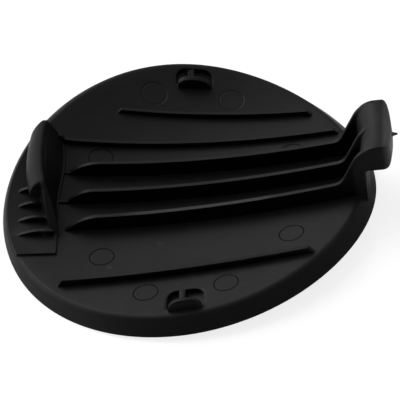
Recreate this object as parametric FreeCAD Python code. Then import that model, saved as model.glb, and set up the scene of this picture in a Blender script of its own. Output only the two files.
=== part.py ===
import FreeCAD, Part
import math
import os

os.makedirs("parts", exist_ok=True)

# Tow eye cover, moulded in one piece and lying on its outer face, sizes in millimetres and degrees.
# The origin is the middle of the ribbed inner face. +X points to the hook, -X to the snap tab.

# Cover plate: nearly round in plan, dished and twisted like the bumper skin that it closes.
rim_radius = 42.4
rim_oval = 0.27
rim_oval_direction = 80.0
rim_lobe = 0.35
rim_lobe_direction = -48.0
rim_square = 0.25
rim_square_direction = -13.0
bevel_run = 2.85
bevel_narrowing = 1.8
bevel_narrow_direction = 200.0
middle_thickness = 3.2
rim_thickness = 4.15
bend_radius = 125.0
bend_direction = -51.0
cross_radius = 900.0
corner_lift = 3.3
lift_direction = 116.0
inner_edge_round = 1.4

# Ribs along X. Three deep ones carry the hook, with two low ones on the far side and one on the near.
rib_pitch = 8.8
hook_rib_y = 1.6
near_rib_y = -26.8
rib_root = 1.0
low_rib_thickness = 1.0
far_ribs_height = 1.3
near_rib_height = 1.8
low_rib_ramp = 1.2
far_rib_turn = -2.2
far_rib_left = -17.8
far_rib_right = 29.4
second_rib_right = 36.0
near_rib_left = -30.9
near_rib_right = 30.8
brace_reach = 1.4
brace_height = 2.4
deep_rib_thickness = 1.1
deep_rib_height = 3.9
deep_rib_rise = 0.45
deep_rib_tip = -29.9
deep_rib_full = -21.0
middle_rib_full = -22.8
tail_height = 0.45
tail_thickness = 0.8
tail_overlap = 1.5

# Hook at the right: the deep ribs sweep up to a leaning wall and a thick bar that reaches past the rim.
hook_setout = 1.9
hook_wall = 1.6
hook_wall_lean = 3.2
hook_wall_root = 3.0
hook_climb_run = 6.4
hook_slope = 60.0
hook_foot_round = 2.4
hook_crown_round = 7.3
hook_top = 17.9
hook_fall = 2.6
hook_rib_sink = 0.1
hook_bar_depth = 6.8
hook_overhang = 6.2
bar_back_round = 5.0
bar_top_round = 1.2
bar_nose_round = 2.1
bar_root_round = 0.8
bar_end_round = 1.0
gate_nub_length = 1.2
gate_nub_radius = 0.8
gate_nub_tip_radius = 0.3
gate_nub_drop = 3.6
gate_nub_sink = 0.4

# Snap tab at the left, set up on a frame that leans with the plate.
tab_centre_y = 8.2
tab_setback = 10.2
tab_lean = 11.3
tab_height = 9.4
tab_root = 2.4
tab_bow_y = 1.5
tab_base_radius = 190.0
tab_lean_back = 2.1
tab_top_radius = 50.0
tab_foot_thickness = 4.6
tab_foot_radius = 55.0
tab_top_land = 0.7
tab_near_top = 6.9
tab_near_foot = 19.8
tab_near_round = 1.2
tab_far_top = 11.7
tab_far_foot = 12.6
tab_far_round = 0.6
barb_reach = 6.7
barb_radius = 38.0
barb_catch_height = 3.9
barb_nose = 0.7
barb_near_end = 7.2
barb_far_end = 9.4
barb_overlap = 0.2

# Raised seat round the tab, with a row of small gussets for the bumper skin to bear on.
seat_height = 0.5
seat_inset = 0.2
seat_root = 2.5
seat_overlap = 0.5
seat_near_y = -15.7
seat_far_y = 18.6
gusset_pitch = 4.5
gusset_first_y = -9.3
gusset_count = 4
gusset_thickness = 1.0
gusset_height = 1.4
gusset_reach = 4.2
gusset_overlap = 1.0

# Two T-shaped locating lugs, each with a pocket on both sides of its web.
lug_width = 8.1
lug_thickness = 1.1
lug_height = 2.9
lug_arch_round = 1.8
lug_web = 1.5
lug_web_offset = -0.8
lug_web_drop = 0.2
far_lug_x = 0.9
far_lug_setback = 6.2
far_pocket_length = 4.4
near_lug_x = 0.1
near_lug_setback = 1.4
near_pocket_length = 6.5
pocket_depth = 1.3
pocket_round = 2.4
pocket_margin = 0.3

# How far the working blocks reach past the part, and how finely its rim is drawn and found again.
tool_depth = 60.0
tool_margin = 12.0
hook_sweep = 60.0
bevel_overrun = 0.6
ring_points = 16
closeness = 0.05
touching = 0.000001

sheet_reach = rim_radius + bevel_run + tool_margin
hook_wall_reach = rim_radius + hook_setout
hook_reach = hook_wall_reach + hook_overhang
tab_wall_x = tab_setback - rim_radius
far_lug_y = rim_radius - far_lug_setback
near_lug_y = near_lug_setback - rim_radius
far_rib_y = hook_rib_y + 3 * rib_pitch
second_rib_y = hook_rib_y + 2 * rib_pitch
deep_rib_ys = [hook_rib_y + rib_pitch, hook_rib_y, hook_rib_y - rib_pitch]
deep_rib_fulls = [deep_rib_full, middle_rib_full, deep_rib_full]
hook_near_y = min(deep_rib_ys) - deep_rib_thickness / 2
hook_far_y = max(deep_rib_ys) + deep_rib_thickness / 2
tab_outer_x = tab_wall_x - tab_foot_thickness

up = FreeCAD.Vector(0, 0, 1)


def point(x, y, z):
    return FreeCAD.Vector(x, y, z)


def inner_height(x, y):
    """Height of the inner face: a dish with one strong bend and a corner that curls up."""
    bend = math.radians(bend_direction)
    lift = math.radians(lift_direction)
    along = x * math.cos(bend) + y * math.sin(bend)
    across = y * math.cos(bend) - x * math.sin(bend)
    toward_lift = x * math.cos(lift) + y * math.sin(lift)
    dish = along ** 2 / (2 * bend_radius) + across ** 2 / (2 * cross_radius)
    return dish + corner_lift * (toward_lift / rim_radius) ** 3


def outer_height(x, y):
    """Height of the outer face: the plate thickens evenly from its middle to its rim."""
    share = (x ** 2 + y ** 2) / (rim_radius + bevel_run) ** 2
    return inner_height(x, y) - middle_thickness - (rim_thickness - middle_thickness) * share


def outer_reach(angle):
    """Reach of the outer rim from the middle: a circle that is slightly out of round."""
    oval = rim_oval * math.cos(2 * (angle - math.radians(rim_oval_direction)))
    lobes = rim_lobe * math.cos(3 * (angle - math.radians(rim_lobe_direction)))
    corners = rim_square * math.cos(4 * (angle - math.radians(rim_square_direction)))
    return rim_radius + bevel_run + oval + lobes + corners


def bevel_width(angle):
    """Width of the bevel in plan. It narrows where the snap tab's seat reaches out over it."""
    toward_tab = max(0, math.cos(angle - math.radians(bevel_narrow_direction)))
    return bevel_run - bevel_narrowing * toward_tab ** 4


def inner_reach(angle):
    """Reach of the inner rim from the middle."""
    return outer_reach(angle) - bevel_width(angle)


def over_plate(x, y, lift):
    """A point some height over the inner face, or under it."""
    return point(x, y, inner_height(x, y) + lift)


def cubic_poles(samples):
    """Control values of the cubic that passes through four evenly spaced samples."""
    a, b, c, d = samples
    return [a, (18 * b - 9 * c + 2 * d - 5 * a) / 6, (2 * a - 9 * b + 18 * c - 5 * d) / 6, d]


def thirds(start, end):
    """Four evenly spaced places from start to end."""
    return [start + (end - start) * step / 3 for step in range(4)]


def sheet_face(height_at):
    """A square face that follows a cubic height field exactly."""
    places = thirds(-sheet_reach, sheet_reach)
    rows = [cubic_poles([height_at(x, y) for y in places]) for x in places]
    columns = [cubic_poles(column) for column in zip(*rows)]
    surface = Part.BezierSurface()
    surface.increase(3, 3)
    for i, x in enumerate(places):
        for j, y in enumerate(places):
            surface.setPole(i + 1, j + 1, point(x, y, columns[j][i]))
    return surface.toShape()


def along_plate(y, start, end, lift, rise=0):
    """The inner face's own curve along X, lifted by a height that may rise. Four samples fix the cubic."""
    places = thirds(start, end)
    lifts = thirds(lift, lift + rise)
    heights = cubic_poles([inner_height(x, y) + extra for x, extra in zip(places, lifts)])
    curve = Part.BezierCurve()
    curve.setPoles([point(x, y, z) for x, z in zip(places, heights)])
    return curve.toShape()


def line(start, end):
    return Part.LineSegment(start, end).toShape()


def below(face, lift, depth):
    """The block under a sheet face that is lifted by some height."""
    top = face.translated(up * lift)
    return top.extrude(up * -depth)


def ring_curve(reach_at, height_at):
    """A closed curve about the middle whose reach and height follow the angle."""
    points = []
    for step in range(ring_points):
        angle = 2 * math.pi * step / ring_points
        reach = reach_at(angle)
        points.append(point(reach * math.cos(angle), reach * math.sin(angle), height_at(angle)))
    curve = Part.BSplineCurve()
    curve.interpolate(Points=points, PeriodicFlag=True)
    return Part.Wire([curve.toShape()])


def rim_drum():
    """Everything inside the bevelled rim, from far above the plate to far below it."""
    def at_rim(height, reach, angle):
        return height(reach * math.cos(angle), reach * math.sin(angle))

    def inner_rim(angle):
        return at_rim(inner_height, inner_reach(angle), angle)

    def outer_rim(angle):
        return at_rim(outer_height, outer_reach(angle), angle)

    def above(angle):
        return inner_rim(angle) + bevel_overrun * (inner_rim(angle) - outer_rim(angle))

    def beneath(angle):
        return outer_rim(angle) - bevel_overrun * (inner_rim(angle) - outer_rim(angle))

    def inside(angle):
        return inner_reach(angle) - bevel_overrun * bevel_width(angle)

    def outside(angle):
        return outer_reach(angle) + bevel_overrun * bevel_width(angle)

    rings = [
        ring_curve(inside, lambda angle: tool_depth / 2),
        ring_curve(inside, above),
        ring_curve(outside, beneath),
        ring_curve(outside, lambda angle: -tool_depth / 2),
    ]
    return Part.makeLoft(rings, True, True)


def cover_plate(inner_face, outer_face):
    """The bevelled plate, with its inner rim rounded over."""
    slab = below(inner_face, 0, tool_depth).cut(below(outer_face, 0, tool_depth))
    plate = slab.common(rim_drum())
    rim_edges = []
    for edge in plate.Edges:
        middle = edge.valueAt((edge.FirstParameter + edge.LastParameter) / 2)
        angle = math.atan2(middle.y, middle.x)
        if abs(math.hypot(middle.x, middle.y) - inner_reach(angle)) < closeness:
            rim_edges.append(edge)
    return plate.makeFillet(inner_edge_round, rim_edges)


def rounded_outline(corners):
    """A closed wire in the XZ plane through (x, z, round) corners, each rounded by its own radius."""
    starts = []
    ends = []
    arcs = []
    count = len(corners)
    for index, (x, z, radius) in enumerate(corners):
        here = point(x, 0, z)
        before = point(corners[index - 1][0], 0, corners[index - 1][1]) - here
        after = point(corners[(index + 1) % count][0], 0, corners[(index + 1) % count][1]) - here
        before.normalize()
        after.normalize()
        if radius == 0:
            starts.append(here)
            ends.append(here)
            arcs.append(None)
            continue
        half_angle = before.getAngle(after) / 2
        run = radius / math.tan(half_angle)
        bisector = before + after
        bisector.normalize()
        middle = here + bisector * (radius / math.sin(half_angle) - radius)
        starts.append(here + before * run)
        ends.append(here + after * run)
        arcs.append(Part.Arc(here + before * run, middle, here + after * run).toShape())
    edges = []
    for index in range(count):
        if arcs[index]:
            edges.append(arcs[index])
        following = starts[(index + 1) % count]
        if ends[index].distanceToPoint(following) > touching:
            edges.append(Part.LineSegment(ends[index], following).toShape())
    return Part.Wire(edges)


def low_rib(y, left, right, height):
    """A low rib that follows the inner face, with a short ramp down to it at both ends."""
    ramp_left = left + low_rib_ramp
    ramp_right = right - low_rib_ramp
    edges = [
        line(over_plate(left, y, -rib_root), over_plate(left, y, 0)),
        line(over_plate(left, y, 0), over_plate(ramp_left, y, height)),
        along_plate(y, ramp_left, ramp_right, height),
        line(over_plate(ramp_right, y, height), over_plate(right, y, 0)),
        line(over_plate(right, y, 0), over_plate(right, y, -rib_root)),
        along_plate(y, left, right, -rib_root),
    ]
    return across_rib(edges, low_rib_thickness)


def far_rib():
    """The farthest low rib, turned a little from the others."""
    rib = low_rib(far_rib_y, far_rib_left, far_rib_right, far_ribs_height)
    middle_x = (far_rib_left + far_rib_right) / 2
    rib.rotate(point(middle_x, far_rib_y, 0), up, far_rib_turn)
    return rib


def second_rib():
    """The low rib that starts at the snap tab, where it climbs in a small round brace."""
    y = second_rib_y

    start = tab_wall_x - tail_overlap
    foot = tab_wall_x + brace_reach
    ramp = second_rib_right - low_rib_ramp
    half_way = math.sin(math.pi / 4)
    crest = over_plate(tab_wall_x, y, brace_height)
    bend_lift = far_ribs_height + (brace_height - far_ribs_height) * half_way
    bend = over_plate(tab_wall_x + brace_reach * half_way, y, bend_lift)
    edges = [
        line(over_plate(start, y, -rib_root), over_plate(start, y, brace_height)),
        line(over_plate(start, y, brace_height), crest),
        Part.Arc(crest, bend, over_plate(foot, y, far_ribs_height)).toShape(),
        along_plate(y, foot, ramp, far_ribs_height),
        line(over_plate(ramp, y, far_ribs_height), over_plate(second_rib_right, y, 0)),
        line(over_plate(second_rib_right, y, 0), over_plate(second_rib_right, y, -rib_root)),
        along_plate(y, start, second_rib_right, -rib_root),
    ]
    return across_rib(edges, low_rib_thickness)


def across_rib(edges, thickness):
    """A closed side view drawn out along Y by half the thickness to each side."""
    face = Part.Face(Part.Wire(Part.__sortEdges__(edges)))
    face.translate(point(0, -thickness / 2, 0))
    return face.extrude(point(0, thickness, 0))


def hook_top_at(y):
    """Height of the hook's top, which falls evenly from the near end to the far end."""
    return hook_top - math.tan(math.radians(hook_fall)) * (y - hook_near_y)


def deep_rib(y, full_x):
    """A hook rib: a curved taper at the left, a slow rise along the plate, an S-bend up to the hook."""
    slope = math.radians(hook_slope)
    climb = point(math.cos(slope), 0, math.sin(slope))
    square_to_climb = point(-math.sin(slope / 2), 0, math.cos(slope / 2))
    outward = 1 / math.cos(slope / 2) - 1
    foot_run = hook_foot_round * math.tan(slope / 2)
    crown_run = hook_crown_round * math.tan(slope / 2)

    wall_reach = math.sqrt(hook_wall_reach ** 2 - y ** 2)
    foot_height = deep_rib_height + deep_rib_rise
    tip = over_plate(deep_rib_tip, y, 0)
    full = over_plate(full_x, y, deep_rib_height)
    taper = Part.BezierCurve()
    taper.setPoles([tip, over_plate((deep_rib_tip + full_x) / 2, y, deep_rib_height), full])
    foot = over_plate(wall_reach - hook_climb_run, y, foot_height)
    foot_start = over_plate(foot.x - foot_run, y, foot_height)
    foot_middle = foot + square_to_climb * (hook_foot_round * outward)
    foot_end = foot + climb * foot_run
    top = hook_top_at(y) - hook_rib_sink
    crown = foot + climb * ((top - foot.z) / math.sin(slope))
    crown_start = crown - climb * crown_run
    crown_middle = crown - square_to_climb * (hook_crown_round * outward)
    crown_end = crown + point(crown_run, 0, 0)
    in_bar = point(max(crown_end.x, wall_reach), y, top)
    under_top = in_bar - up * (hook_bar_depth / 2)
    wall_middle = wall_reach - hook_wall / 2
    wall_slant = math.tan(math.radians(hook_wall_lean)) * hook_bar_depth
    wall_root = over_plate(wall_middle - wall_slant, y, -rib_root)
    in_wall = point(wall_middle, y, under_top.z)
    edges = [
        line(over_plate(deep_rib_tip, y, -rib_root), tip),
        taper.toShape(),
        along_plate(y, full_x, foot_start.x, deep_rib_height, deep_rib_rise),
        Part.Arc(foot_start, foot_middle, foot_end).toShape(),
        line(foot_end, crown_start),
        Part.Arc(crown_start, crown_middle, crown_end).toShape(),
        line(in_bar, under_top),
        line(under_top, in_wall),
        line(in_wall, wall_root),
        along_plate(y, wall_root.x, deep_rib_tip, -rib_root),
    ]
    if in_bar.x > crown_end.x:
        edges.append(line(crown_end, in_bar))
    return across_rib(edges, deep_rib_thickness)


def rib_tail(y):
    """A thin strip that runs on from a deep rib's tip to the snap tab."""
    start = tab_wall_x - tail_overlap
    end = deep_rib_tip + tail_overlap
    edges = [
        along_plate(y, start, end, tail_height),
        along_plate(y, start, end, -rib_root),
        line(over_plate(start, y, -rib_root), over_plate(start, y, tail_height)),
        line(over_plate(end, y, -rib_root), over_plate(end, y, tail_height)),
    ]
    return across_rib(edges, tail_thickness)


def hook_bar(inner_face):
    """The hook's leaning wall and its thick bar, turned about the plate's axis, with rounded ends."""
    bar_low = hook_top - hook_bar_depth
    wall_low = -rim_thickness
    lean = math.tan(math.radians(hook_wall_lean))
    wall_inner = hook_wall_reach - hook_wall
    outline = rounded_outline([
        (wall_inner - lean * (bar_low - wall_low), wall_low, 0),
        (wall_inner + lean * hook_bar_depth, hook_top, bar_back_round),
        (hook_reach, hook_top, bar_top_round),
        (hook_reach, bar_low, bar_nose_round),
        (hook_wall_reach, bar_low, bar_root_round),
        (hook_wall_reach - lean * (bar_low - wall_low), wall_low, 0),
    ])
    turned = Part.Face(outline)
    turned.rotate(point(0, 0, 0), up, -hook_sweep / 2)
    turned = turned.revolve(point(0, 0, 0), up, hook_sweep)
    turned.rotate(point(0, hook_near_y, hook_top), point(1, 0, 0), -hook_fall)
    above_root = inner_face.translated(up * -hook_wall_root).extrude(up * tool_depth)
    return turned.common(hook_flank()).common(above_root)


def hook_flank():
    """The hook's plan: as wide as its ribs, with its outer corners rounded."""
    nose = point(tool_depth, (hook_near_y + hook_far_y) / 2, 0)
    inset = bar_end_round * (1 - math.sin(math.pi / 4))
    edges = [line(point(0, hook_near_y, 0), point(0, hook_far_y, 0))]
    for y, inward in ((hook_near_y, 1), (hook_far_y, -1)):
        reach = math.sqrt(hook_reach ** 2 - y ** 2)
        side = point(reach - bar_end_round, y, 0)
        turn = point(reach - inset, y + inward * inset, 0)
        front = point(reach, y + inward * bar_end_round, 0)
        edges += [line(point(0, y, 0), side), Part.Arc(side, turn, front).toShape(), line(front, nose)]
    plan = Part.Face(Part.Wire(Part.__sortEdges__(edges)))
    plan.translate(point(0, 0, -tool_depth / 2))
    return plan.extrude(up * tool_depth)


def gate_nub():
    """The stub that is left where the moulding was broken from its runner."""
    middle_y = (hook_near_y + hook_far_y) / 2
    base = point(hook_reach - gate_nub_sink, middle_y, hook_top_at(middle_y) - gate_nub_drop)
    length = gate_nub_length + gate_nub_sink
    return Part.makeCone(gate_nub_radius, gate_nub_tip_radius, length, base, point(1, 0, 0))


def on_tab_arc(arc, y, z):
    """A point on an arc that bulges to -X about the tab's middle; an arc is (x at its middle, radius)."""
    x, radius = arc
    return point(x + radius - math.sqrt(radius ** 2 - (y - tab_bow_y) ** 2), y, z)


def arc_band(outer, inner, near, far, z):
    """A closed wire at height z between two arcs, from the near end to the far end."""
    def arc_edge(arc):
        start, middle, end = [on_tab_arc(arc, y, z) for y in (near, (near + far) / 2, far)]
        return Part.Arc(start, middle, end).toShape()

    edges = [
        arc_edge(outer),
        line(on_tab_arc(outer, far, z), on_tab_arc(inner, far, z)),
        arc_edge(inner),
        line(on_tab_arc(inner, near, z), on_tab_arc(outer, near, z)),
    ]
    return Part.Wire(Part.__sortEdges__(edges))


def tab_wall():
    """The tab's curved wall, thick at its foot and leaning outward."""
    top_x = tab_wall_x - tab_lean_back
    near = -tab_near_foot - gusset_overlap
    far = tab_far_foot + gusset_overlap
    foot_outer = (tab_outer_x, tab_foot_radius)
    foot_inner = (tab_wall_x, tab_base_radius)
    head_outer = (top_x - tab_top_land, tab_top_radius)
    head_inner = (top_x, tab_top_radius)
    return Part.makeLoft([
        arc_band(foot_outer, foot_inner, near, far, -tab_root),
        arc_band(foot_outer, foot_inner, near, far, 0),
        arc_band(head_outer, head_inner, near, far, tab_height),
    ], True, True)


def tab_barb():
    """The barb on the tab's outer side: a flat catch, a thin nose and a long lead-in to the tab's top."""
    top_x = tab_wall_x - tab_lean_back
    nose = (tab_wall_x - barb_reach, barb_radius)
    core = (top_x - barb_overlap, tab_top_radius)
    head = (top_x - tab_top_land, tab_top_radius)
    return Part.makeLoft([
        arc_band(nose, core, -barb_near_end, barb_far_end, barb_catch_height),
        arc_band(nose, core, -barb_near_end, barb_far_end, barb_catch_height + barb_nose),
        arc_band(head, core, -tab_near_top, tab_far_top, tab_height),
    ], True, True)


def tab_ends():
    """The block that slopes off both ends of the tab: the near end is long and low, the far end steep."""
    outline = rounded_outline([
        (-tab_near_foot, -tab_root, 0),
        (-tab_near_foot, 0, 0),
        (-tab_near_top, tab_height, tab_near_round),
        (tab_far_top, tab_height, tab_far_round),
        (tab_far_foot, 0, 0),
        (tab_far_foot, -tab_root, 0),
    ])
    face = Part.Face(outline)
    face.rotate(point(0, 0, 0), up, 90)
    face.translate(point(-tool_depth, 0, 0))
    return face.extrude(point(tool_depth, 0, 0))


def snap_tab():
    """The tab and its barb, leaned over to stand square on the plate."""
    tab = tab_wall().fuse(tab_barb()).common(tab_ends())
    tab.rotate(point(0, 0, 0), point(1, 0, 0), tab_lean)
    tab.translate(point(0, tab_centre_y, inner_height(tab_wall_x, tab_centre_y)))
    return tab


def tab_seat(inner_face):
    """The raised area from the tab to the rim."""
    outline = ring_curve(lambda angle: inner_reach(angle) - seat_inset, lambda angle: -tool_depth / 2)
    column = Part.Face(outline).extrude(up * tool_depth)
    width = tool_depth + tab_wall_x + seat_overlap
    area = Part.makeBox(width, seat_far_y - seat_near_y, tool_depth,
                        point(-tool_depth, seat_near_y, -tool_depth / 2))
    raised = below(inner_face, seat_height, seat_height + seat_root)
    return raised.common(area).common(column)


def gusset(y):
    """A small web from the tab's foot, with an arched back that comes down on the seat."""
    wall = on_tab_arc((tab_outer_x, tab_foot_radius), y - tab_centre_y, 0)
    inner_x = wall.x + gusset_overlap
    outer_x = tab_outer_x - gusset_reach
    middle_x = (outer_x + inner_x) / 2

    def on_seat(x, lift):
        return over_plate(x, y, seat_height + lift)

    back = Part.Arc(on_seat(outer_x, 0), on_seat(middle_x, gusset_height), on_seat(inner_x, gusset_height))
    edges = [
        back.toShape(),
        line(on_seat(inner_x, gusset_height), on_seat(inner_x, -rib_root)),
        line(on_seat(inner_x, -rib_root), on_seat(outer_x, -rib_root)),
        line(on_seat(outer_x, -rib_root), on_seat(outer_x, 0)),
    ]
    return across_rib(edges, gusset_thickness)


def lug_plate(x, y):
    """The lug's cross plate with an arched top."""
    base = inner_height(x, y)
    left = x - lug_width / 2
    right = x + lug_width / 2
    outline = rounded_outline([
        (left, base - rib_root, 0),
        (left, base + lug_height, lug_arch_round),
        (right, base + lug_height, lug_arch_round),
        (right, base - rib_root, 0),
    ])
    face = Part.Face(outline)
    face.translate(point(0, y, 0))
    return face.extrude(point(0, lug_thickness, 0))


def lug_web_piece(x, y, length):
    """The web behind a lug's plate, which slopes from near its top down to the inner face."""
    front = y + lug_thickness / 2
    back = y + lug_thickness
    far = back + length
    top = inner_height(x, y) + lug_height - lug_web_drop
    root = pocket_depth + lug_web_drop
    corners = [
        point(0, front, inner_height(x, y) - root),
        point(0, front, top),
        point(0, back, top),
        point(0, far, inner_height(x, far)),
        point(0, far, inner_height(x, far) - root),
    ]
    face = Part.Face(Part.makePolygon(corners + corners[:1]))
    face.translate(point(x + lug_web_offset - lug_web / 2, 0, 0))
    return face.extrude(point(lug_web, 0, 0))


def lug_pocket(inner_face, x, y, length):
    """The recess behind a lug, a half oval in plan that the web then divides."""
    back = y + lug_thickness
    left = x - lug_width / 2 - pocket_margin
    right = x + lug_width / 2 + pocket_margin
    corner = min(pocket_round, length - pocket_margin)
    plan = Part.Face(rounded_outline([
        (left, back, 0),
        (left, back + length, corner),
        (right, back + length, corner),
        (right, back, 0),
    ]))
    plan.rotate(point(0, 0, 0), point(1, 0, 0), -90)
    plan.translate(point(0, 0, -tool_depth / 2))
    column = plan.extrude(up * tool_depth)
    return column.cut(below(inner_face, -pocket_depth, tool_depth))


def tow_eye_cover():
    """Everything fused into the one moulding."""
    inner_face = sheet_face(inner_height)
    outer_face = sheet_face(outer_height)
    lugs = [
        (far_lug_x, far_lug_y, far_pocket_length),
        (near_lug_x, near_lug_y, near_pocket_length),
    ]
    plate = cover_plate(inner_face, outer_face).fuse(tab_seat(inner_face))
    plate = plate.cut([lug_pocket(inner_face, x, y, length) for x, y, length in lugs])
    raised = [
        far_rib(),
        second_rib(),
        low_rib(near_rib_y, near_rib_left, near_rib_right, near_rib_height),
        hook_bar(inner_face),
        gate_nub(),
        snap_tab(),
    ]
    raised += [deep_rib(y, full_x) for y, full_x in zip(deep_rib_ys, deep_rib_fulls)]
    raised += [rib_tail(y) for y in deep_rib_ys[:2]]
    raised += [gusset(gusset_first_y + gusset_pitch * step) for step in range(gusset_count)]
    raised += [lug_plate(x, y) for x, y, length in lugs]
    raised += [lug_web_piece(x, y, length) for x, y, length in lugs]
    return plate.fuse(raised).Solids[0]


cover = tow_eye_cover()
cover.exportStep("parts/tow_eye_cover.step")
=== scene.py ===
import math

import bmesh
import bpy
from mathutils import Matrix, Vector


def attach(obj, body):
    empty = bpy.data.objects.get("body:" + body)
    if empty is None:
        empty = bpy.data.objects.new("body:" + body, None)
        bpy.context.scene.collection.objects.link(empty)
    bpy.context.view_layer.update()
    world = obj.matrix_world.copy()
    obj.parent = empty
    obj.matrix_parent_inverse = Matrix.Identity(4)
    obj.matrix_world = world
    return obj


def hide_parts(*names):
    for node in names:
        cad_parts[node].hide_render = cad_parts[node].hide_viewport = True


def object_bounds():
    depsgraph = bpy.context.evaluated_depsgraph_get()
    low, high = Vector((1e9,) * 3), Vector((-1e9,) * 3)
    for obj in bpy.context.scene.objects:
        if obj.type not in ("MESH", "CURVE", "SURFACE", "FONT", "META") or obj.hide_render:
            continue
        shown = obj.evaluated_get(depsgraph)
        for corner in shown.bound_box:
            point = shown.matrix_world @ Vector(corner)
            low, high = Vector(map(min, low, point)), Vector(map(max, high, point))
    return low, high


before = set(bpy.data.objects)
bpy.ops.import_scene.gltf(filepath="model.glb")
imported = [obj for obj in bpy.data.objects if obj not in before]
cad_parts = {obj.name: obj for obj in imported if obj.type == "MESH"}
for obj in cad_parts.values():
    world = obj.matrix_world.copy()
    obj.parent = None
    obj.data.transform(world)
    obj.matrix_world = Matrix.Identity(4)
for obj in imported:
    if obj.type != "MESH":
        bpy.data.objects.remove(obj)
cad_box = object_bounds()
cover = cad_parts["tow_eye_cover"]

# The photograph's view of the cover, in the part's own frame. Angles in degrees, lengths in metres.
camera_elevation = 40.45
camera_azimuth = 8.42
camera_roll = -10.79
camera_distance = 1.325
pixels_per_metre = 4172.5
picture_size = 400
origin_pixel = (190.1, 201.8)

# The studio: broad patches of sky over a dim room. A patch is its azimuth from the x axis, its elevation, both
# in degrees, its tightness and its strength.
sky_patches = [(133.0, 42.0, 18.8, 6.95), (175.0, 18.0, 18.0, 4.3), (32.0, 53.0, 2.8, 0.63)]
room_strength = 0.03

# The floor: half its side in metres, its grey, and the shaded and glowing parts that the camera sees.
floor_reach = 3.0
floor_grey = 0.8
floor_veil = 0.25
floor_glow = 0.82

# The finish, as linear colour: near black plastic, with painted shade that deepens steep sides and the pin
# rings, that greys where it is rubbed, and with a painted highlight on the lead-in and the nose.
plastic_colour = (0.0082, 0.0084, 0.0090)
cloud_colour = (0.0112, 0.0115, 0.0122)
# Painted shade for steep sides.
steep_shade_colour = (0.0022, 0.0022, 0.0024)
rubbed_colour = (0.045, 0.0455, 0.046)
# Painted highlight for the tab's lead-in and the hook's nose.
highlight_colour = (0.090, 0.090, 0.090)
# Painted shade for the grooves of the pin rings.
ring_shade_colour = (0.001, 0.001, 0.001)
plastic_shine = 0.095
satin_roughness = (0.40, 0.50)
dull_roughness = 0.66

# The noises of the surface, in cycles a metre, and the span of values that clouding and satin follow.
cloud_scale = 55.0
mottle_scale = 420.0
grain_scale = 2600.0
streak_scale = (900, 90, 900)
noise_span = (0.3, 0.7)

# The surface's relief: its depth in metres, how strongly it shows, and the heights of what it holds.
relief_depth = 0.0001
relief_strength = 0.8
mottle_strength = 0.11
grain_height = 0.25
disc_depth = 0.45
ring_depth = 0.8

# From here down to the shape of the inner face, places and sizes are in metres. A pair is a start and an end.

# Height above the tab's seat, which slopes up toward the far side. Edges get softer over the crest heights,
# which the tab, the hook and the near rim reach.
tab_seat_height = 0.0033
tab_slope = 0.2
crest_heights = (0.0060, 0.0080)
soft_edge = 0.00032
soft_crest = 0.0014

# Painted shade: steep sides are made deeper black, the less they face up the more, within a reach that leaves
# out the edge band.
steep_facing = (0.25, 0.6)
steep_shade_share = 0.85
steep_reach = 0.0415

# The marks of the ejector pins: their middles and radius, the lowest place that has any, and a ring round
# each, with painted shade in its groove that is fainter at the far side.
pin_marks = [(-0.00879, 0.03435), (0.00974, 0.03303), (-0.02156, 0.01524), (0.02461, 0.01414),
             (-0.02063, -0.01744), (0.02512, -0.01772), (-0.00948, -0.03242), (0.00978, -0.03295)]
pin_radius = 0.00295
pin_softness = 0.0001
pin_lowest = -0.0016
ring_width = (0.00006, 0.00026)
ring_shade_share = (0.9, 0.4)
ring_shade_fading_y = (0.018, 0.030)

# Small knocks on the face and the gussets, as place and reach, and wear along edges. Noise breaks both up.
knocks = [(-0.0067, -0.0144, 0.0009), (-0.0187, -0.0216, 0.0007),
          (-0.0397, -0.0049, 0.0008), (-0.0346, -0.0095, 0.0009)]
knock_share = 1.12
knock_breakup = (0.42, 0.62)
edge_turning = (0.90, 0.995)
edge_share = 0.22
edge_breakup = (0.45, 0.65)

# The rubbed top of the near deep rib: its line, half width, lowest point, middle and fading ends, how far it
# faces up, and how much it is rubbed.
rubbed_y = -0.0072
rubbed_half_width = 0.0010
rubbed_lowest = 0.0028
rubbed_middle = 0.003
rubbed_ends = (0.014, 0.019)
rubbed_facing = 0.6
rubbed_share = 0.6

# A painted highlight on the tab's lead-in, most of all low down and at its far end, and on the nose of the
# hook's bar. Its streaks are broken up by noise, and the top of the lead-in is dull.
lead_in_x = -0.0335
lead_in_y = 0.0
lead_in_height = 0.0038
highlight_heights = (0.0056, 0.0093)
highlight_y = (0.004, 0.019)
highlight_near_share = 0.12
streak_breakup = (0.35, 0.65)
streak_share = 0.75
dull_span = (0.0, 0.4)
nose_x = (0.0482, 0.0500)

# The shape of the inner face. This and all below is in millimetres and degrees.
rim_radius = 42.4
bend_radius = 125.0
bend_direction = -51.0
cross_radius = 900.0
corner_lift = 3.3
lift_direction = 116.0

# The lugs: the middle and front of each, and their sizes and those of their webs in the solid.
lugs = [(0.9, 36.2), (0.1, -41.0)]
lug_half_width = 4.05
lug_thickness = 1.1
lug_height = 2.9
lug_old_round = 1.8
web_offset = -0.8
web_half_width = 0.75
web_drop = 0.2

# What a lug gets: the power of its arch, the share of its height that its sides keep, the least height over
# the face of its vertices and of its web, and the number of strips cut for it.
lug_arch_power = 2.3
lug_side_share = 0.14
lug_lowest = 0.05
web_lowest = 0.02
lug_cuts = 18

# How far off a vertex may be and still count as a lug's, as its root's, as above the face, and as its web's.
lug_margin = 0.05
root_margin = 0.2
face_margin = 0.04
web_margin = 0.03

# The snap tab in its own frame, as the solid has it. An arc is the place of its middle and its radius.
tab_centre = (-32.2, 8.2)
tab_lean = 11.3
lead_low = 4.6
lead_high = 9.4
lead_low_arc = (-38.9, 38.0)
lead_high_arc = (-35.0, 50.0)
lead_bow_y = 1.5
wall_foot_arc = (-32.2, 190.0)
wall_top_arc = (-34.3, 50.0)

# The crown that the tab's lead-in gets: its height, its direction, and the number of strips cut for it.
lead_crown = 0.75
lead_outward = (-1, 0, 0.8)
lead_cuts = 8

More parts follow.
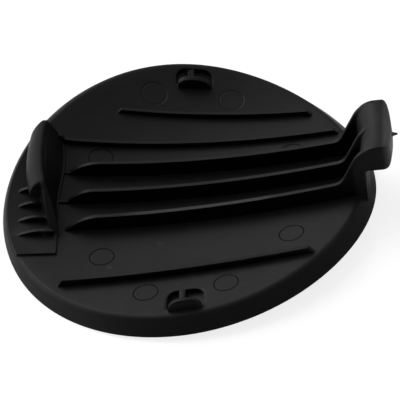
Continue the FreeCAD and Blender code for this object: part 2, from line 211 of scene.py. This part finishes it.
# Where the vertices of the lead-in are looked for: left of a place, within a half span, and how far off it.
lead_right = -30.0
lead_half_span = 20.0
lead_height_margin = 0.1
lead_margin = 0.35

# The swell that the tab's foot gets: its size, its middle, and its reach along, off and under the wall.
foot_swell = 2.0
foot_middle_y = 13.8
foot_spread = 8.4
foot_reach = 3.6
foot_depth = 1.5

# Where the inner face of the tab's wall is looked for: how far out, from what height, and how far off its foot
# and off the face.
wall_depth = 2.4
wall_start = 0.5
wall_foot_margin = 0.25
wall_margin = 0.2

# The gate nub: where its shaft starts, and the share of its thickness that it keeps.
nub_start = 50.75
nub_share = 0.75

# The worked-up mesh: edges that turn by more degrees are sharp, and points nearer, in metres, are one.
sharp_angle = 30.0
weld_distance = 1e-7


def view_axes():
    """The camera's right, up and back directions."""
    elevation = math.radians(camera_elevation)
    azimuth = math.radians(camera_azimuth)
    roll = math.radians(camera_roll)
    back = Vector((math.sin(azimuth) * math.cos(elevation),
                   -math.cos(azimuth) * math.cos(elevation),
                   math.sin(elevation)))
    level = Vector((math.cos(azimuth), math.sin(azimuth), 0))
    above = back.cross(level)
    right = level * math.cos(roll) + above * math.sin(roll)
    up = above * math.cos(roll) - level * math.sin(roll)
    return right, up, back


def add_camera():
    """The camera, at the photograph's angle and scale."""
    right, up, back = view_axes()
    half = picture_size / 2
    across = (half - origin_pixel[0]) / pixels_per_metre
    upward = (origin_pixel[1] - half) / pixels_per_metre
    target = right * across + up * upward
    camera = bpy.data.cameras.new("camera")
    camera.lens = pixels_per_metre * camera_distance * camera.sensor_width / picture_size
    camera.clip_end = 10
    holder = bpy.data.objects.new("camera", camera)
    rotation = Matrix((right, up, back)).transposed().to_4x4()
    holder.matrix_world = Matrix.Translation(target + back * camera_distance) @ rotation
    bpy.context.scene.collection.objects.link(holder)
    bpy.context.scene.camera = holder


def inner_height(x, y):
    """Height of the moulding's inner face."""
    bend = math.radians(bend_direction)
    lift = math.radians(lift_direction)
    along = x * math.cos(bend) + y * math.sin(bend)
    across = y * math.cos(bend) - x * math.sin(bend)
    toward_lift = x * math.cos(lift) + y * math.sin(lift)
    dish = along ** 2 / (2 * bend_radius) + across ** 2 / (2 * cross_radius)
    return dish + corner_lift * (toward_lift / rim_radius) ** 3


def cut_across(shape, inside, normal, places):
    """Cuts the faces that lie inside a region with parallel planes through the places."""
    for place in places:
        faces = [face for face in shape.faces if inside(face.calc_center_median() * 1000)]
        parts = faces + list({edge for face in faces for edge in face.edges})
        parts += list({vertex for face in faces for vertex in face.verts})
        bmesh.ops.bisect_plane(shape, geom=parts, dist=weld_distance, plane_co=place / 1000, plane_no=normal)


def round_lug(shape, middle, front):
    """Gives a lug an arched top that leans with the inner face, and sets its web flush with the face."""
    back = front + lug_thickness
    base = inner_height(middle, front)

    def in_plate(place):
        return (abs(place.x - middle) < lug_half_width + lug_margin
                and front - lug_margin < place.y < back + lug_margin
                and place.z > inner_height(place.x, place.y) - root_margin)

    def on_web(place):
        return (abs(place.x - middle - web_offset) < web_half_width + web_margin
                and place.y > back - web_margin
                and abs(place.z - base - lug_height + web_drop) < web_margin)

    across = [middle + lug_half_width * (2 * cut / lug_cuts - 1) for cut in range(1, lug_cuts)]
    cut_across(shape, in_plate, Vector((1, 0, 0)), [Vector((x, front, 0)) for x in across])
    for vertex in shape.verts:
        place = vertex.co * 1000
        floor = inner_height(place.x, place.y)
        if in_plate(place) and place.z > floor + face_margin:
            reach = min(1, abs(place.x - middle) / lug_half_width)
            side = max(0, abs(place.x - middle) - (lug_half_width - lug_old_round))
            old_top = lug_height - lug_old_round + math.sqrt(max(0, lug_old_round ** 2 - side ** 2))
            arch = max(lug_side_share, (1 - reach ** lug_arch_power) ** (1 / lug_arch_power))
            share = min(1, (place.z - base) / old_top) if place.z > base else 0
            lift = web_lowest if on_web(place) else max(lug_lowest, share * lug_height * arch)
            vertex.co.z = (floor + lift) / 1000


def tab_frame():
    """The snap tab's lean, and the middle of its seat with x left at nought."""
    lean = Matrix.Rotation(math.radians(tab_lean), 3, "X")
    return lean, Vector((0, tab_centre[1], inner_height(*tab_centre)))


def between_arcs(low_arc, high_arc, y, share):
    """The place, in the tab's frame, of a surface that runs from a low arc to a high one."""
    low, high = [x + radius - math.sqrt(radius ** 2 - (y - lead_bow_y) ** 2)
                 for x, radius in (low_arc, high_arc)]
    return low * (1 - share) + high * share


def crown_lead_in(shape):
    """Crowns the snap tab's lead-in, which is flat from its nose to its top in the solid."""
    lean, seat = tab_frame()

    def in_lead(place):
        local = lean.inverted() @ (place - seat)
        return (place.x < lead_right and abs(local.y) < lead_half_span
                and lead_low - lead_height_margin < local.z < lead_high + lead_height_margin)

    heights = [lead_low + (lead_high - lead_low) * cut / lead_cuts for cut in range(1, lead_cuts)]
    places = [seat + lean @ Vector((0, 0, height)) for height in heights]
    cut_across(shape, in_lead, lean @ Vector((0, 0, 1)), places)
    outward = (lean @ Vector(lead_outward)).normalized()
    for vertex in shape.verts:
        place = vertex.co * 1000
        if in_lead(place):
            local = lean.inverted() @ (place - seat)
            share = (local.z - lead_low) / (lead_high - lead_low)
            face = between_arcs(lead_low_arc, lead_high_arc, local.y, share)
            if abs(local.x - face) < lead_margin:
                vertex.co += outward * (4 * share * (1 - share) * lead_crown / 1000)


def on_inner_wall(local):
    """Whether a place in the tab's frame is on the inner face of its wall, clear of its seat."""
    if local.z < wall_start:
        return False
    share = min(1, local.z / lead_high)
    return local.x >= between_arcs(wall_foot_arc, wall_top_arc, local.y, share) - wall_margin


def swell_tab_foot(shape):
    """Swells the foot of the snap tab's wall toward the ribs, fading to nothing at its top."""
    lean, seat = tab_frame()
    for vertex in shape.verts:
        place = vertex.co * 1000
        local = lean.inverted() @ (place - seat)
        past_wall = place.x - tab_centre[0]
        above = place.z > inner_height(place.x, place.y) - foot_depth
        if above and -wall_depth < past_wall < foot_reach:
            if past_wall >= -wall_foot_margin or on_inner_wall(local):
                swell = foot_swell * math.exp(-((place.y - foot_middle_y) / foot_spread) ** 2)
                fade = min(1, max(0, 1 - local.z / lead_high)) * min(1, 1 - past_wall / foot_reach)
                vertex.co.x += swell * fade / 1000


def thin_gate_nub(shape):
    """Thins the gate nub on the hook's nose."""
    shaft = [vertex for vertex in shape.verts if vertex.co.x > nub_start / 1000]
    middle = sum((vertex.co for vertex in shaft), Vector()) / len(shaft)
    for vertex in shaft:
        vertex.co.y = middle.y + (vertex.co.y - middle.y) * nub_share
        vertex.co.z = middle.z + (vertex.co.z - middle.z) * nub_share


def worked_up_cover():
    """A copy of the moulding with its lugs, tab and gate nub shaped more finely, after the photograph."""
    mesh = cover.data.copy()
    skin = bpy.data.objects.new("cover_skin", mesh)
    bpy.context.scene.collection.objects.link(skin)
    shape = bmesh.new()
    shape.from_mesh(mesh)
    bmesh.ops.remove_doubles(shape, verts=shape.verts, dist=weld_distance)
    for middle, front in lugs:
        round_lug(shape, middle, front)
    crown_lead_in(shape)
    swell_tab_foot(shape)
    thin_gate_nub(shape)
    bmesh.ops.dissolve_degenerate(shape, edges=shape.edges, dist=weld_distance)
    bmesh.ops.triangulate(shape, faces=[face for face in shape.faces if len(face.verts) > 4])
    for face in shape.faces:
        face.smooth = True
    for edge in shape.edges:
        edge.smooth = len(edge.link_faces) == 2 and edge.calc_face_angle() < math.radians(sharp_angle)
    shape.to_mesh(mesh)
    shape.free()
    return skin


class Nodes:
    """Short calls for building a node tree."""

    def __init__(self, tree):
        tree.nodes.clear()
        self.tree = tree

    def plug(self, socket, value):
        """Gives an input a link from another node's output, or a plain value."""
        if isinstance(value, bpy.types.NodeSocket):
            self.tree.links.new(value, socket)
        elif socket.type == "RGBA":
            socket.default_value = (*value, 1)
        else:
            socket.default_value = value

    def add(self, kind, **inputs):
        """A new node with its inputs set by name."""
        node = self.tree.nodes.new(kind)
        for name, value in inputs.items():
            self.plug(node.inputs[name.replace("_", " ")], value)
        return node

    def maths(self, operation, first, *others):
        """The result of a Math operation on one value, or on a row of values from left to right."""
        for other in others or (None,):
            node = self.tree.nodes.new("ShaderNodeMath")
            node.operation = operation
            self.plug(node.inputs[0], first)
            if other is not None:
                self.plug(node.inputs[1], other)
            first = node.outputs[0]
        return first

    def vectors(self, operation, first, second=(0, 0, 0)):
        """A node that works out one operation on vectors. LENGTH reads the first one alone."""
        node = self.tree.nodes.new("ShaderNodeVectorMath")
        node.operation = operation
        self.plug(node.inputs[0], first)
        self.plug(node.inputs[1], second)
        return node

    def measure(self, operation, first, second=(0, 0, 0)):
        """A number worked out from vectors."""
        return self.vectors(operation, first, second).outputs["Value"]

    def stretch(self, vector, by):
        """A vector with each of its parts multiplied."""
        return self.vectors("MULTIPLY", vector, by).outputs["Vector"]

    def noise(self, vector, scale, detail=2.0, roughness=0.5):
        """The value of a noise."""
        node = self.add("ShaderNodeTexNoise", Vector=vector, Scale=scale, Detail=detail, Roughness=roughness)
        return node.outputs["Fac"]

    def blend(self, share, first, second):
        """A colour that goes from the first to the second as the share goes from 0 to 1."""
        node = self.tree.nodes.new("ShaderNodeMix")
        node.data_type = "RGBA"
        self.plug(node.inputs["Factor"], share)
        self.plug(node.inputs[6], first)
        self.plug(node.inputs[7], second)
        return node.outputs[2]

    def ramp(self, value, span, low=0.0, high=1.0):
        """A number that goes from low to high as the value crosses the span, and stays there."""
        node = self.add("ShaderNodeMapRange", Value=value, From_Min=span[0], From_Max=span[1],
                        To_Min=low, To_Max=high)
        return node.outputs[0]


class PlasticNodes(Nodes):
    """The plastic's node tree, with the place, the slope and the noises that its features read."""

    def __init__(self, tree):
        super().__init__(tree)
        self.place = self.add("ShaderNodeTexCoord").outputs["Object"]
        self.flat = self.stretch(self.place, (1, 1, 0))
        self.rightward, self.farther, self.upward = self.parts(self.place)
        self.normal = self.add("ShaderNodeNewGeometry").outputs["Normal"]
        self.facing_up = self.parts(self.normal)[2]
        past_tab = self.maths("SUBTRACT", self.farther, tab_centre[1] / 1000)
        above_slope = self.maths("SUBTRACT", self.upward, self.maths("MULTIPLY", past_tab, tab_slope))
        self.tab_height = self.maths("SUBTRACT", above_slope, tab_seat_height)
        self.cloud = self.noise(self.place, cloud_scale, detail=3.0, roughness=0.55)
        self.mottle = self.noise(self.place, mottle_scale)
        self.grain = self.noise(self.place, grain_scale, roughness=0.6)

    def parts(self, vector):
        """The three parts of a vector."""
        return self.add("ShaderNodeSeparateXYZ", Vector=vector).outputs[:3]

    def distance_from(self, x, y):
        """The distance from an upright line through a place on the face."""
        return self.measure("DISTANCE", self.flat, (x, y, 0))


def pin_marks_relief(make):
    """The pin marks: how far a point is inside a disc, and how near it is to a ring, both from 0 to 1."""
    nearest = make.maths("MINIMUM", *[make.distance_from(x, y) for x, y in pin_marks])
    disc = make.ramp(nearest, (pin_radius - pin_softness, pin_radius + pin_softness), 1.0, 0.0)
    off_ring = make.maths("ABSOLUTE", make.maths("SUBTRACT", nearest, pin_radius))
    ring = make.ramp(off_ring, ring_width, 1.0, 0.0)
    high_enough = make.maths("GREATER_THAN", make.upward, pin_lowest)
    return make.maths("MULTIPLY", disc, high_enough), make.maths("MULTIPLY", ring, high_enough)


def edges_worn(make, rounded):
    """How much the edges are worn, where the softened surface turns away from the plain one."""
    turned = make.ramp(make.measure("DOT_PRODUCT", rounded, make.normal), edge_turning, 1.0, 0.0)
    return make.maths("MULTIPLY", turned, make.ramp(make.mottle, edge_breakup, 0.0, edge_share))


def knocked(make):
    """How much a point is scraped by a knock."""
    shares = [make.ramp(make.distance_from(x, y), (0.0, reach), knock_share, 0.0) for x, y, reach in knocks]
    return make.maths("MULTIPLY", make.maths("MAXIMUM", *shares), make.ramp(make.grain, knock_breakup))


def rib_rubbed(make):
    """How much the top of the near deep rib is rubbed."""
    off_line = make.maths("ABSOLUTE", make.maths("SUBTRACT", make.farther, rubbed_y))
    off_middle = make.maths("ABSOLUTE", make.maths("SUBTRACT", make.rightward, rubbed_middle))
    return make.maths("MULTIPLY",
                      make.maths("LESS_THAN", off_line, rubbed_half_width),
                      make.maths("GREATER_THAN", make.facing_up, rubbed_facing),
                      make.maths("GREATER_THAN", make.upward, rubbed_lowest),
                      make.ramp(off_middle, rubbed_ends, rubbed_share, 0.0))


def highlight_and_dull(make):
    """How strong the painted highlight is on the tab's lead-in and the bar's nose, and how rough the lead-in's
    top is.
    """
    on_lead_in = make.maths("MULTIPLY",
                            make.maths("LESS_THAN", make.rightward, lead_in_x),
                            make.maths("GREATER_THAN", make.farther, lead_in_y),
                            make.maths("GREATER_THAN", make.tab_height, lead_in_height))
    low = make.ramp(make.tab_height, highlight_heights, 1.0, 0.0)
    far = make.ramp(make.farther, highlight_y, highlight_near_share, 1.0)
    streaks = make.noise(make.stretch(make.place, streak_scale), 1.0)
    streaked = make.ramp(streaks, streak_breakup, streak_share)
    lead_in = make.maths("MULTIPLY", on_lead_in, low, far, streaked)
    nose = make.maths("MULTIPLY", make.ramp(make.rightward, nose_x), streaked)
    dulled = make.maths("MULTIPLY", on_lead_in, make.ramp(low, dull_span, dull_roughness, 0.0))
    return make.maths("MAXIMUM", lead_in, nose), dulled


def plastic_tint(make, wear, painted_highlight, painted_ring_shade):
    """The colour: clouded, with painted shade on steep sides and in the pin rings, greyer where the plastic is
    rubbed, and with a painted highlight on the lead-in and the nose.
    """
    clouded = make.blend(make.ramp(make.cloud, noise_span), plastic_colour, cloud_colour)
    # Painted shade that deepens the black of steep sides on the face.
    steep = make.ramp(make.maths("ABSOLUTE", make.facing_up), steep_facing, steep_shade_share, 0.0)
    on_face = make.maths("LESS_THAN", make.measure("LENGTH", make.flat), steep_reach)
    shaded_tint = make.blend(make.maths("MULTIPLY", steep, on_face), clouded, steep_shade_colour)
    rubbed = make.blend(wear, shaded_tint, rubbed_colour)
    # Painted highlight on the lead-in and the nose.
    highlighted_tint = make.blend(painted_highlight, rubbed, highlight_colour)
    # Painted shade in the pin rings.
    return make.blend(painted_ring_shade, highlighted_tint, ring_shade_colour)


def small_relief(make, rounded, disc, ring):
    """The surface's small relief: sunk pin marks, fine grain and mottling over the softened edges."""
    sunk_disc = make.maths("MULTIPLY", disc, disc_depth)
    sunk_ring = make.maths("MULTIPLY", ring, ring_depth)
    grain = make.maths("MULTIPLY", make.grain, grain_height)
    height = make.maths("SUBTRACT", grain, make.maths("ADD", sunk_disc, sunk_ring))
    grained = make.add("ShaderNodeBump", Strength=relief_strength, Distance=relief_depth, Height=height,
                       Normal=rounded)
    mottled = make.add("ShaderNodeBump", Strength=mottle_strength, Distance=relief_depth, Height=make.mottle,
                       Normal=grained.outputs["Normal"])
    return mottled.outputs["Normal"]


def moulded_plastic():
    """Black plastic: satin, grained and clouded, with pin rings and worn places, painted shade on steep sides
    and in the ring grooves, and a painted highlight on the lead-in and the nose.
    """
    material = bpy.data.materials.new("moulded_plastic")
    material.use_nodes = True
    make = PlasticNodes(material.node_tree)
    softening = make.ramp(make.tab_height, crest_heights, soft_edge, soft_crest)
    bevel = make.add("ShaderNodeBevel", Radius=softening)
    bevel.samples = 12
    rounded = bevel.outputs["Normal"]
    disc, ring = pin_marks_relief(make)
    # Painted shade in the pin rings' grooves, fainter toward the far side, which also roughens them.
    painted_ring_shade = make.maths("MULTIPLY", ring, make.ramp(make.farther, ring_shade_fading_y, *ring_shade_share))
    wear = make.maths("MAXIMUM", edges_worn(make, rounded), knocked(make), rib_rubbed(make))
    # Painted highlight on the lead-in and the nose, and the dull top of the lead-in.
    painted_highlight, dulled = highlight_and_dull(make)
    satin = make.ramp(make.mottle, noise_span, *satin_roughness)
    shader = make.add("ShaderNodeBsdfPrincipled",
                      Base_Color=plastic_tint(make, wear, painted_highlight, painted_ring_shade),
                      Roughness=make.maths("MAXIMUM", satin, dulled, painted_ring_shade),
                      Specular_IOR_Level=plastic_shine,
                      Normal=small_relief(make, rounded, disc, ring))
    make.add("ShaderNodeOutputMaterial", Surface=shader.outputs["BSDF"])
    return material


def floor_material():
    """A pale matt floor. The camera sees it as white that keeps the cover's shadow."""
    material = bpy.data.materials.new("floor")
    material.use_nodes = True
    make = Nodes(material.node_tree)
    plain = make.add("ShaderNodeBsdfDiffuse", Color=(floor_grey, floor_grey, floor_grey))
    veil = make.add("ShaderNodeBsdfDiffuse", Color=(floor_veil, floor_veil, floor_veil))
    glow = make.add("ShaderNodeEmission", Color=(1, 1, 1), Strength=floor_glow)
    seen = make.add("ShaderNodeAddShader")
    make.plug(seen.inputs[0], veil.outputs[0])
    make.plug(seen.inputs[1], glow.outputs[0])
    mix = make.add("ShaderNodeMixShader", Fac=make.add("ShaderNodeLightPath").outputs["Is Camera Ray"])
    make.plug(mix.inputs[1], plain.outputs[0])
    make.plug(mix.inputs[2], seen.outputs[0])
    make.add("ShaderNodeOutputMaterial", Surface=mix.outputs[0])
    return material


def add_floor():
    """A wide floor under the cover."""
    low = cad_box[0][2]
    corners = [(-floor_reach, -floor_reach, low), (floor_reach, -floor_reach, low),
               (floor_reach, floor_reach, low), (-floor_reach, floor_reach, low)]
    mesh = bpy.data.meshes.new("floor")
    mesh.from_pydata(corners, [], [(0, 1, 2, 3)])
    mesh.materials.append(floor_material())
    floor = bpy.data.objects.new("floor", mesh)
    bpy.context.scene.collection.objects.link(floor)


def toward(azimuth, elevation):
    """The direction of a place in the sky, from its angles in degrees."""
    turn = math.radians(azimuth)
    rise = math.radians(elevation)
    return (math.cos(turn) * math.cos(rise), math.sin(turn) * math.cos(rise), math.sin(rise))


def add_world():
    """A dim room with broad soft patches of light, which the camera sees as plain white."""
    world = bpy.data.worlds.new("studio")
    bpy.context.scene.world = world
    world.use_nodes = True
    make = Nodes(world.node_tree)
    sky = make.add("ShaderNodeTexCoord").outputs["Generated"]
    light = room_strength
    for azimuth, elevation, tightness, strength in sky_patches:
        nearness = make.measure("DOT_PRODUCT", sky, toward(azimuth, elevation))
        falloff = make.maths("MULTIPLY", make.maths("SUBTRACT", nearness, 1.0), tightness)
        patch = make.maths("MULTIPLY", make.maths("EXPONENT", falloff), strength)
        light = make.maths("ADD", patch, light)
    shown = make.add("ShaderNodeMix", Factor=make.add("ShaderNodeLightPath").outputs["Is Camera Ray"])
    make.plug(shown.inputs[2], light)
    make.plug(shown.inputs[3], 1.0)
    background = make.add("ShaderNodeBackground", Color=(1, 1, 1), Strength=shown.outputs[0])
    make.add("ShaderNodeOutputWorld", Surface=background.outputs[0])


def main():
    """Dresses the cover, and adds the floor, the light and the camera."""
    skin = worked_up_cover()
    skin.data.materials.clear()
    skin.data.materials.append(moulded_plastic())
    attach(skin, "root")
    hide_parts("tow_eye_cover")
    add_floor()
    add_world()
    add_camera()
    bpy.context.scene.view_settings.view_transform = "Standard"


main()
